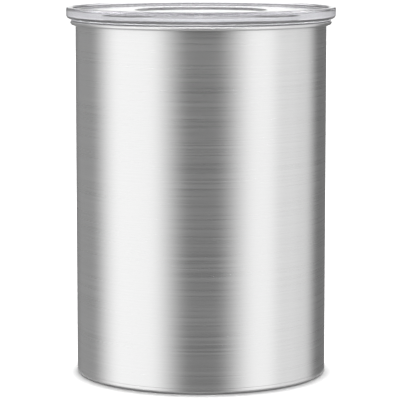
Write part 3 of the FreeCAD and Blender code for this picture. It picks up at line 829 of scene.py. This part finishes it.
class CANISTER_OT_outer_lid(Operator):
    """Make the clear outer lid with its stacking lip, dish and spigot"""
    bl_idname = "canister.outer_lid"
    bl_label = "Outer Lid"

    def execute(self, context):
        can, lid = context.scene.canister_can, context.scene.canister_lid
        bore, seat, spigot, groove_top, groove = lid_places(context)
        top, rim, end = HIGH["outer_lid"].z, HIGH["outer_lid"].x, LOW["outer_lid"].z
        lip = bore + can.wall_sheet + lid.stack_gap
        panel_top = top - lid.stack_depth
        panel_under = panel_top - lid.panel
        inner = spigot - lid.spigot_wall
        slope = lid.dish_radius + lid.dish_depth
        step, edge = lid.step_round, lid.edge_round
        # Out along the underside, down and up the spigot, round the rim and back along the upper side
        outline = rounded_outline([
            (0, panel_under - lid.dish_depth, 0),
            (lid.dish_radius, panel_under - lid.dish_depth, step),
            (slope, panel_under, step),
            (inner, panel_under, lid.spigot_round),
            (inner, end, lid.spigot_round),
            (spigot, end, lid.spigot_round),
            (spigot, groove_top - lid.groove_height, edge),
            (groove, groove_top - lid.groove_height, edge),
            (groove, groove_top, edge),
            (spigot, groove_top, edge),
            (spigot, seat, edge),
            (rim, seat, lid.lower_round),
            (rim, top, lid.rim_round),
            (lip, top, lid.lip_round),
            (lip, panel_top, step),
            (slope, panel_top, step),
            (lid.dish_radius, panel_top - lid.dish_depth, step),
            (0, panel_top - lid.dish_depth, 0),
        ])
        # Painted shade along the lid's steps and edges, for each point round the turn
        shade = np.repeat(step_shade(outline, lid)[:, None], can.segments, 1)
        clear_lid = add_piece(context, "clear_lid", "outer_lid", turned(outline, can.segments), shade=shade)
        clear_lid.visible_shadow = False
        return {"FINISHED"}


class CANISTER_OT_lid_gasket(Operator):
    """Make the silicone gasket on the lid's spigot"""
    bl_idname = "canister.lid_gasket"
    bl_label = "Lid Gasket"

    def execute(self, context):
        lid = context.scene.canister_lid
        bore, seat, spigot, groove_top, groove = lid_places(context)
        leg_inner = spigot + lid.gasket_fit
        leg_outer = leg_inner + lid.gasket_leg
        key_top = groove_top - lid.gasket_fit
        key_end = groove_top - lid.groove_height + lid.gasket_fit
        lip = (key_top + key_end) / 2
        end, rim, edge = LOW["outer_lid_gasket"].z, HIGH["outer_lid_gasket"].x, lid.gasket_round
        # Up the outer face and its sealing lip, round the flange and down the inner face with its key
        outline = rounded_outline([
            (leg_inner, end, edge),
            (leg_outer, end, edge),
            (leg_outer, lip - lid.gasket_lip_height / 2, edge),
            (bore - lid.gasket_lip_gap, lip, edge),
            (leg_outer, lip + lid.gasket_lip_height / 2, edge),
            (leg_outer, seat - lid.gasket_flange, edge),
            (rim, seat - lid.gasket_flange, edge),
            (rim, seat, edge),
            (leg_inner, seat, edge),
            (leg_inner, key_top, edge),
            (groove + lid.gasket_fit, key_top, edge),
            (groove + lid.gasket_fit, key_end, edge),
            (leg_inner, key_end, edge),
        ])
        segments = context.scene.canister_can.segments
        add_piece(context, "lid_gasket", "outer_lid_gasket", turned(outline, segments))
        return {"FINISHED"}


def pivot_places(context):
    """Places along X at the handle's pivot: the two faces of a cam, of an arm and of an ear."""
    handle, plunger = context.scene.canister_handle, context.scene.canister_plunger
    ear_far = HIGH["right_handle_pin"].x - handle.pin_head
    ear_near = ear_far - plunger.ear_thickness
    arm_far = ear_near - handle.ear_gap
    arm_near = arm_far - handle.width
    cam_far = arm_near - handle.cam_gap
    return cam_far - handle.cam_width, cam_far, arm_near, arm_far, ear_near, ear_far


def pivot_height():
    """Height of the handle's pivot axis."""
    return (LOW["right_handle_pin"].z + HIGH["right_handle_pin"].z) / 2


# Columns beside a rib's middle, the foot of its flank and the flank's width, in half widths of the rib
RIB_COLUMN_SHARES = (0, 0.5, 0.8, 0.9, 1.0, 1.1, 1.4)
RIB_FOOT_SHARE = 1.1
RIB_FLANK_SHARE = 0.3
# Columns from the last of these to the middle between two ribs
GAP_COLUMNS = 4
# Longest run of the dish's outline, in widths of a rib
DISH_RUN_SHARE = 1.25


def ribbed_dish(plunger, outline, floor, wall):
    """Dish outline (radius, height) turned about Z, with low ribs on its floor.

    Columns stand at set distances from each rib's middle, angle = arcsin(distance / radius), and then share
    the rest of its sector evenly. A floor row rises to floor + rib height * smooth step of the distance
    inside the flank's foot.
    """
    radius, height = outline[:, :1], outline[:, 1:]
    sector = 2 * math.pi / plunger.rib_count
    half_width = plunger.rib_width / 2
    near = np.arcsin(half_width * np.array(RIB_COLUMN_SHARES) / radius)
    rest = near[:, -1:] + (sector / 2 - near[:, -1:]) * np.linspace(0, 1, GAP_COLUMNS + 1)[1:]
    half = np.concatenate([near, rest], 1)
    off = np.concatenate([-half[:, ::-1], half[:, 1:-1]], 1)
    distance = radius * np.sin(np.abs(off)) / half_width
    inside = smooth_step((RIB_FOOT_SHARE - distance) / RIB_FLANK_SHARE)
    crest = floor + plunger.rib_height * inside
    on_floor = (height > floor - SAME_PLACE) & (height < floor + plunger.rib_height)
    ribbed = on_floor & (radius > plunger.rib_start - SAME_PLACE) & (radius < wall)
    level = np.where(ribbed, np.maximum(height, crest), height)
    middles = sector * (np.arange(plunger.rib_count) + 1 / 2)
    turn = (middles[:, None] + off[:, None]).reshape(len(outline), -1)
    heights = np.tile(level, (1, plunger.rib_count))
    return np.stack([radius * np.cos(turn), radius * np.sin(turn), heights], -1)


class CANISTER_OT_plunger(Operator):
    """Make the plunger's ribbed dish, with the handle's ears and the spokes of the valve port"""
    bl_idname = "canister.plunger"
    bl_label = "Plunger"

    def execute(self, context):
        plunger, handle = context.scene.canister_plunger, context.scene.canister_handle
        base, top, rim = LOW["plunger_plate"].z, HIGH["plunger_plate"].z, HIGH["plunger_plate"].x
        ear_near, ear_far = pivot_places(context)[4:]
        pivot = pivot_height()
        groove = rim - plunger.groove
        wall = groove - plunger.wall
        floor = base + plunger.floor
        port, seat = plunger.port_radius, plunger.port_radius + plunger.seat_width
        seat_top = floor + plunger.seat_height
        edge = plunger.small_round
        outline = divided(rounded_outline([
            (port, base, edge),
            (rim, base, plunger.rim_round),
            (rim, base + plunger.flange, edge),
            (groove, base + plunger.flange, edge),
            (groove, top - plunger.flange, edge),
            (rim, top - plunger.flange, edge),
            (rim, top, plunger.rim_round),
            (wall, top, plunger.rim_round),
            (wall, floor, plunger.floor_round),
            (plunger.rib_start, floor, 0),
            (seat, floor, edge),
            (seat, seat_top, plunger.seat_round),
            (port, seat_top, plunger.seat_round),
        ], steps=6), plunger.rib_width * DISH_RUN_SHARE)
        dish = ribbed_dish(plunger, outline, floor, wall)

        sunk = base + plunger.floor / 2
        ear_top = pivot + plunger.ear_radius
        side = divided(rounded_outline([
            (-plunger.ear_foot / 2, sunk, 0),
            (-plunger.ear_radius, ear_top, plunger.ear_radius),
            (plunger.ear_radius, ear_top, plunger.ear_radius),
            (plunger.ear_foot / 2, sunk, 0),
        ]), plunger.ear_thickness / PLATE_RUNS)
        ear = plate(side, (0, pivot), ear_near, ear_far, plunger.ear_edge, hole=handle.pin_radius)

        spoke_top, half = base + plunger.spoke_height, plunger.spoke_width / 2
        hub = rounded_outline([
            (0, base, 0),
            (plunger.spoke_hub, base, edge),
            (plunger.spoke_hub, spoke_top, edge),
            (0, spoke_top, 0),
        ])
        reach = (port + seat) / 2
        spoke = plate(box_outline(0, reach, -half, half, edge), (reach / 2, 0), base, spoke_top, edge)
        steps = np.arange(plunger.spoke_count) * 2 * math.pi / plunger.spoke_count
        add_piece(context, "plunger_dish", "plunger_plate", dish, *both_sides(through_x(ear)),
                  turned(hub, SPOKE_HUB_SEGMENTS), *[spun(spoke, step) for step in steps])
        return {"FINISHED"}


class CANISTER_OT_wiper(Operator):
    """Make the wiper seal with its fins"""
    bl_idname = "canister.wiper"
    bl_label = "Wiper Seal"

    def execute(self, context):
        plunger = context.scene.canister_plunger
        low, high, tip = LOW["wiper_seal"].z, HIGH["wiper_seal"].z, HIGH["wiper_seal"].x
        inner = HIGH["plunger_plate"].x - plunger.groove + plunger.wiper_fit
        sleeve = inner + plunger.sleeve
        edge = plunger.small_round
        corners = [(inner, low, edge), (sleeve, low, edge)]
        for index in range(plunger.fin_count):
            root = low + (high - low) * (index + 1 / 2) / plunger.fin_count - plunger.fin_root / 2
            corners += [
                (sleeve, root, edge),
                (tip, root + plunger.fin_rise, edge),
                (tip, root + plunger.fin_rise + plunger.fin_tip, edge),
                (sleeve, root + plunger.fin_root, edge),
            ]
        outline = rounded_outline([*corners, (sleeve, high, edge), (inner, high, edge)])
        segments = context.scene.canister_can.segments
        add_piece(context, "finned_wiper", "wiper_seal", turned(outline, segments))
        return {"FINISHED"}


def spring_core(valve):
    """Radius of what the spring stands round."""
    return HIGH["valve_spring"].x - valve.wire - valve.spring_gap


class CANISTER_OT_valve(Operator):
    """Make the valve's disc, washer, stem and lift bar"""
    bl_idname = "canister.valve"
    bl_label = "Valve"

    def execute(self, context):
        valve = context.scene.canister_valve
        seat, disc_top = LOW["valve_disc"].z, HIGH["valve_disc"].z
        boss_top = HIGH["disc_washer"].z
        bar_under, bar_top = LOW["lift_bar"].z, HIGH["lift_bar"].z
        hole, core, edge = valve.neck_radius + valve.fit, spring_core(valve), valve.washer_round
        disc = rounded_outline([
            (hole, seat, edge),
            (HIGH["valve_disc"].x, seat, valve.disc_round),
            (HIGH["valve_disc"].x, disc_top, valve.disc_round),
            (hole, disc_top, edge),
        ])
        add_piece(context, "soft_disc", "valve_disc", turned(disc, DISC_SEGMENTS))
        washer = rounded_outline([
            (hole, disc_top, edge),
            (HIGH["disc_washer"].x, disc_top, edge),
            (HIGH["disc_washer"].x, disc_top + valve.washer, edge),
            (core, disc_top + valve.washer, edge),
            (core, boss_top, edge),
            (hole, boss_top, edge),
        ])
        add_piece(context, "bossed_washer", "disc_washer", turned(washer, DISC_SEGMENTS))
        head, neck, shaft = HIGH["valve_stem"].x, valve.neck_radius, valve.shaft_radius
        head_under, tip = LOW["valve_stem"].z, HIGH["valve_stem"].z
        groove, clip_top = neck - valve.clip_depth, bar_top + valve.clip
        stem = rounded_outline([
            (0, head_under, 0),
            (head, head_under, valve.stem_round),
            (head, seat, edge),
            (neck, seat, 0),
            (neck, boss_top, 0),
            (shaft, boss_top, edge),
            (shaft, bar_under, edge),
            (neck, bar_under, 0),
            (neck, bar_top, 0),
            (groove, bar_top, 0),
            (groove, clip_top, 0),
            (neck, clip_top, edge),
            (neck, tip, valve.stem_round),
            (0, tip, 0),
        ])
        add_piece(context, "turned_stem", "valve_stem", turned(stem, STEM_SEGMENTS))
        reach, half = HIGH["lift_bar"].x, HIGH["lift_bar"].y
        side = divided(box_outline(-reach, reach, -half, half, valve.bar_round), half / PLATE_RUNS)
        bar = plate(side, (0, 0), bar_under, bar_top, valve.edge, hole=hole)
        add_piece(context, "cross_bar", "lift_bar", bar)
        return {"FINISHED"}


class CANISTER_OT_spring(Operator):
    """Make the valve's coiled spring"""
    bl_idname = "canister.spring"
    bl_label = "Valve Spring"

    def execute(self, context):
        valve = context.scene.canister_valve
        low, high = LOW["valve_spring"].z, HIGH["valve_spring"].z
        wire = valve.wire / 2
        radius = HIGH["valve_spring"].x - wire
        # A round wire on a helix: path + wire * (out cos b + lift sin b), for b round the wire
        turn = np.linspace(0, 2 * math.pi * valve.turns, SPRING_STEPS * valve.turns + 1)
        climb = (high - low - valve.wire) / turn[-1]
        out = np.stack([np.cos(turn), np.sin(turn), 0 * turn], -1)
        path = radius * out + (low + wire + climb * turn)[:, None] * UP
        heading = unit(np.stack([-radius * np.sin(turn), radius * np.cos(turn), climb + 0 * turn], -1))
        lift = np.cross(out, heading)
        around = np.linspace(0, 2 * math.pi, WIRE_SIDES, endpoint=False)[:, None]
        arm = np.cos(around) * out[:, None] + np.sin(around) * lift[:, None]
        coil = capped(path, path[:, None] + wire * arm)
        piece = add_piece(context, "coiled_spring", "valve_spring", coil)
        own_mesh(piece)
        return {"FINISHED"}


# Places of the cage's lugs round the valve, in degrees
LUG_ANGLES = (60.0, 120.0, 240.0, 300.0)


class CANISTER_OT_cage(Operator):
    """Make the vented cage over the valve, with its lugs and the lift bar's rails"""
    bl_idname = "canister.cage"
    bl_label = "Valve Cage"

    def execute(self, context):
        valve = context.scene.canister_valve
        low, high, outer = LOW["valve_cage"].z, HIGH["valve_cage"].z, HIGH["valve_cage"].x
        inner, edge, core = outer - valve.cage_wall, valve.edge, spring_core(valve)
        guide = valve.shaft_radius + valve.fit
        roof_top = high - valve.rail_height
        roof = roof_top - valve.cage_roof
        sill, lintel = low + valve.sill, roof - valve.lintel
        lower = box_outline(inner, outer, low, sill, edge)
        upper = rounded_outline([
            (inner, lintel, edge),
            (outer, lintel, edge),
            (outer, roof_top, valve.cage_round),
            (guide, roof_top, edge),
            (guide, roof - valve.guide, edge),
            (core, roof - valve.guide, edge),
            (core, roof, edge),
            (inner, roof, edge),
        ])
        # Posts that fill the wall between the windows, as plates wrapped about the axis
        middle = (inner + outer) / 2
        step = 2 * math.pi / valve.windows
        half = middle * (step / 2 - math.asin(valve.window_width / 2 / middle))
        side = divided(box_outline(-half, half, sill - edge, lintel + edge, edge), valve.cage_wall / 2)
        post = plate(side, (0, (sill + lintel) / 2), inner + valve.fit, outer - valve.fit, edge)
        posts = [spun(wrapped(post, middle), step * index) for index in range(valve.windows)]

        circle = outer + valve.lug_radius
        tongue = divided(rounded_outline([
            (middle, -valve.lug_radius, 0),
            (circle + valve.lug_radius, -valve.lug_radius, valve.lug_radius),
            (circle + valve.lug_radius, valve.lug_radius, valve.lug_radius),
            (middle, valve.lug_radius, 0),
        ]), valve.lug_radius / PLATE_RUNS)
        lug = plate(tongue, (circle, 0), low, low + valve.lug_thickness, edge, hole=valve.screw_hole)
        lugs = [spun(lug, math.radians(place)) for place in LUG_ANGLES]

        near = HIGH["lift_bar"].y + valve.rail_gap
        far = near + valve.rail_thickness
        span = valve.rail_length / 2
        rail = plate(box_outline(-span, span, near, far, edge), (0, (near + far) / 2),
                     roof_top - valve.cage_roof / 2, high, edge)
        rings = [turned(outline, CAGE_SEGMENTS) for outline in (lower, upper)]
        add_piece(context, "vented_cage", "valve_cage", *rings, *posts, *lugs, rail, spun(rail, math.pi))
        return {"FINISHED"}


class CANISTER_OT_handle(Operator):
    """Make the folding handle: a bail with two hubs and the cams that lift the valve"""
    bl_idname = "canister.handle"
    bl_label = "Handle"

    def execute(self, context):
        handle = context.scene.canister_handle
        cam_near, cam_far, arm_near, arm_far, _, _ = pivot_places(context)
        pivot = pivot_height()
        arm = (arm_near + arm_far) / 2
        grip = -LOW["handle"].y - handle.width / 2
        shoulder = handle.neck + (grip - handle.neck) * handle.shoulder
        line = np.array([
            (arm, 0),
            (arm, handle.neck),
            (arm + handle.splay, shoulder),
            (arm + handle.splay, grip),
            (0, grip),
        ])
        # A bend's rounding is its share of the shorter run times the tangent of half the angle there
        before, after = line[:-2] - line[1:-1], line[2:] - line[1:-1]
        shorter = np.minimum(np.linalg.norm(before, axis=1), np.linalg.norm(after, axis=1))
        half_turn = np.arccos((unit(before) * unit(after)).sum(1)) / 2
        bends = np.array(handle.bends) * shorter * np.tan(half_turn)
        bore = handle.pin_radius + handle.pin_fit
        corners = np.concatenate([[(arm, bore, 0)], np.column_stack([line[1:-1], bends])])
        right, left = both_sides(corners)
        bail_line = rounded_outline(np.concatenate([right, left[::-1]]), steps=16)
        path = np.column_stack([bail_line * (1, -1), np.full(len(bail_line), pivot)])
        x_half, z_half = handle.width / 2, handle.thickness / 2
        bail = carried(path, box_outline(-x_half, x_half, -z_half, z_half, handle.edge))

        bore_end = LOW["right_handle_pin"].x - handle.pin_fit
        hub_outline = rounded_outline([
            (0, cam_near, 0),
            (handle.hub_radius, cam_near, handle.hub_round),
            (handle.hub_radius, arm_far, handle.hub_round),
            (bore, arm_far, 0),
            (bore, bore_end, 0),
            (0, bore_end, 0),
        ])
        hub = through_x(turned(hub_outline, HUB_SEGMENTS)) + (0, 0, pivot)

        # An involute flank, whose height over the pivot grows evenly with the swing: reach + base * turn
        base = VALVE_LIFT / HANDLE_SWING
        turn = np.linspace(0, HANDLE_SWING + handle.overswing, CAM_STEPS + 1)
        height = handle.cam_reach + base * turn
        flank = np.stack([-height * np.sin(turn) - base * np.cos(turn),
                          pivot + height * np.cos(turn) - base * np.sin(turn)], -1)
        lobe = np.concatenate([flank, [(0, pivot), (0, pivot + handle.cam_reach)]])
        middle = (flank[CAM_STEPS // 2] + (0, pivot)) / 2
        cam = plate(lobe, middle, cam_near, cam_far, handle.hub_round)
        add_piece(context, "folding_bail", "handle", bail, *both_sides(hub), *both_sides(through_x(cam)))
        return {"FINISHED"}


class CANISTER_OT_pins(Operator):
    """Make the two headed pins that the handle turns on"""
    bl_idname = "canister.pins"
    bl_label = "Handle Pins"

    def execute(self, context):
        handle = context.scene.canister_handle
        low, high = LOW["right_handle_pin"], HIGH["right_handle_pin"]
        shoulder, under_head = high.x - handle.pin_head, handle.pin_round / 4
        outline = rounded_outline([
            (0, low.x, 0),
            (handle.pin_radius, low.x, handle.pin_round),
            (handle.pin_radius, shoulder, 0),
            (high.y, shoulder, under_head),
            (high.y, high.x, handle.pin_round),
            (0, high.x, 0),
        ])
        pin = through_x(turned(outline, STEM_SEGMENTS)) + (0, 0, pivot_height())
        for side, points in zip(("right", "left"), both_sides(pin)):
            add_piece(context, side + "_pivot_pin", side + "_handle_pin", points)
        return {"FINISHED"}


class CANISTER_OT_fasteners(Operator):
    """Give the screws and the stem's clip their finish"""
    bl_idname = "canister.fasteners"
    bl_label = "Fasteners"

    def execute(self, context):
        for node in ("cage_screws", "stem_clip"):
            mesh = frame["nodes"][node].data
            mesh.materials.clear()
            mesh.materials.append(slot_material(context, SLOTS[node]))
        return {"FINISHED"}


# Soft boxes round the canister: azimuth from the camera's side, half width and feathered edge in degrees,
# and strength
SOFT_BOXES = (
    (-64, 15, 40, 1.37),
    (-125, 15, 35, 0.22),
    (57, 5, 40, 1.32),
    (104, 6, 26, 0.85),
    (145, 6, 26, 0.04),
    (180, 7, 6, 1.0),
)
# Light from all round, of the ceiling, of the ground, and of the plain background that the camera sees
AMBIENT = 0.18
CEILING = 1.1
GROUND = 0.7
BACKGROUND = 1.0
# Heights of a direction's unit arrow between which the ceiling and the ground come in
CEILING_RISE = (0.10, 0.52)
GROUND_FALL = (-0.4, -0.75)
# Width of the camera's sensor in millimetres
SENSOR_WIDTH = 36.0


def studio_world(context):
    """Tall soft boxes with feathered sides, between a pale ceiling and ground, and a plain background."""
    world = bpy.data.worlds.new("studio")
    context.scene.world = world
    world.use_nodes = True
    tree = world.node_tree
    direction = node_after(tree, "ShaderNodeTexCoord").outputs["Generated"]
    way = node_after(tree, "ShaderNodeSeparateXYZ", {"Vector": direction}).outputs
    azimuth = combined(tree, "ARCTAN2", way["X"], combined(tree, "MULTIPLY", way["Y"], -1.0))
    glow = AMBIENT
    for middle, half, feather, strength in SOFT_BOXES:
        off = combined(tree, "SUBTRACT", azimuth, math.radians(middle))
        away = combined(tree, "ABSOLUTE", combined(tree, "WRAP", off, math.pi, -math.pi))
        edges = math.radians(half), math.radians(half + feather)
        glow = combined(tree, "ADD", mapped(tree, away, edges, (strength, 0.0), "SMOOTHSTEP"), glow)
    rise = mapped(tree, way["Z"], CEILING_RISE, (0.0, 1.0), "SMOOTHSTEP")
    fall = mapped(tree, way["Z"], GROUND_FALL, (0.0, 1.0), "SMOOTHSTEP")
    glow = faded(tree, fall, faded(tree, rise, glow, CEILING), GROUND)
    path = node_after(tree, "ShaderNodeLightPath").outputs
    seen = combined(tree, "MAXIMUM", path["Is Camera Ray"], path["Is Transmission Ray"])
    strength = faded(tree, seen, glow, BACKGROUND)
    set_inputs(tree, tree.nodes["Background"], {"Color": (1.0, 1.0, 1.0, 1.0), "Strength": strength})


class CANISTER_OT_stage(Operator):
    """Set up the floor, the soft light and the camera"""
    bl_idname = "canister.stage"
    bl_label = "Stage"

    def execute(self, context):
        studio = context.scene.canister_studio
        paint, tree, shader = new_finish("floor_paint")
        cloud = object_noise(tree, per_metre=(3, 3, 3))
        set_inputs(tree, shader, {
            "Base Color": shaded(tree, cloud, studio.floor_paint, depth=0.01),
            "Roughness": 0.9,
            "Specular IOR Level": 0.0,
        })
        rings = (
            ("floor_middle", 0, studio.floor_middle),
            ("floor", studio.floor_middle, studio.floor_radius),
        )
        for name, inner, outer in rings:
            ring = turned(np.array([(outer, 0), (inner, 0)]), FLOOR_SEGMENTS)
            mesh = surface_mesh(name, ring, sheet=True)
            mesh.materials.append(paint)
            floor = bpy.data.objects.new(name, mesh)
            context.scene.collection.objects.link(floor)
            floor.visible_glossy = inner == 0
        studio_world(context)

        light = bpy.data.lights.new("overhead", "SUN")
        light.angle = studio.light_spread
        light.energy = studio.light_power
        overhead = bpy.data.objects.new("overhead", light)
        overhead.rotation_euler = (-studio.light_lean, 0, 0)
        overhead.visible_glossy = False
        context.scene.collection.objects.link(overhead)

        lens = bpy.data.cameras.new("camera")
        lens.sensor_width = SENSOR_WIDTH
        lens.lens = studio.camera_lens
        camera = bpy.data.objects.new("camera", lens)
        camera.location = (-studio.camera_offset, -studio.camera_distance, studio.camera_height)
        camera.rotation_euler = (math.pi / 2 - studio.camera_tilt, 0, 0)
        context.scene.collection.objects.link(camera)
        context.scene.camera = camera
        context.scene.view_settings.view_transform = "Standard"
        return {"FINISHED"}


OPERATORS = (
    CANISTER_OT_wall,
    CANISTER_OT_base_pan,
    CANISTER_OT_outer_lid,
    CANISTER_OT_lid_gasket,
    CANISTER_OT_plunger,
    CANISTER_OT_wiper,
    CANISTER_OT_valve,
    CANISTER_OT_spring,
    CANISTER_OT_cage,
    CANISTER_OT_handle,
    CANISTER_OT_pins,
    CANISTER_OT_fasteners,
    CANISTER_OT_stage,
)


class VIEW3D_PT_canister(Panel):
    """Lists the canister's pieces and its stage"""
    bl_label = "Canister"
    bl_idname = "VIEW3D_PT_canister"
    bl_space_type = "VIEW_3D"
    bl_region_type = "UI"
    bl_category = "Canister"

    def draw(self, context):
        for operator in OPERATORS:
            self.layout.operator(operator.bl_idname)


GROUPS = {
    "canister_can": CanSizes,
    "canister_lid": LidSizes,
    "canister_plunger": PlungerSizes,
    "canister_valve": ValveSizes,
    "canister_handle": HandleSizes,
    "canister_finishes": Finishes,
    "canister_studio": StudioSizes,
}


def register():
    for group in GROUPS.values():
        bpy.utils.register_class(group)
    for name, group in GROUPS.items():
        setattr(bpy.types.Scene, name, PointerProperty(type=group))
    for kind in (*OPERATORS, VIEW3D_PT_canister):
        bpy.utils.register_class(kind)


def unregister():
    for kind in (VIEW3D_PT_canister, *reversed(OPERATORS)):
        bpy.utils.unregister_class(kind)
    for name in GROUPS:
        delattr(bpy.types.Scene, name)
    for group in reversed(GROUPS.values()):
        bpy.utils.unregister_class(group)


def main():
    register()
    bpy.ops.canister.wall()
    bpy.ops.canister.base_pan()
    bpy.ops.canister.outer_lid()
    bpy.ops.canister.lid_gasket()
    bpy.ops.canister.plunger()
    bpy.ops.canister.wiper()
    bpy.ops.canister.valve()
    bpy.ops.canister.spring()
    bpy.ops.canister.cage()
    bpy.ops.canister.handle()
    bpy.ops.canister.pins()
    bpy.ops.canister.fasteners()
    bpy.ops.canister.stage()
    bpy.context.view_layer.update()


if __name__ == "__main__":
    main()
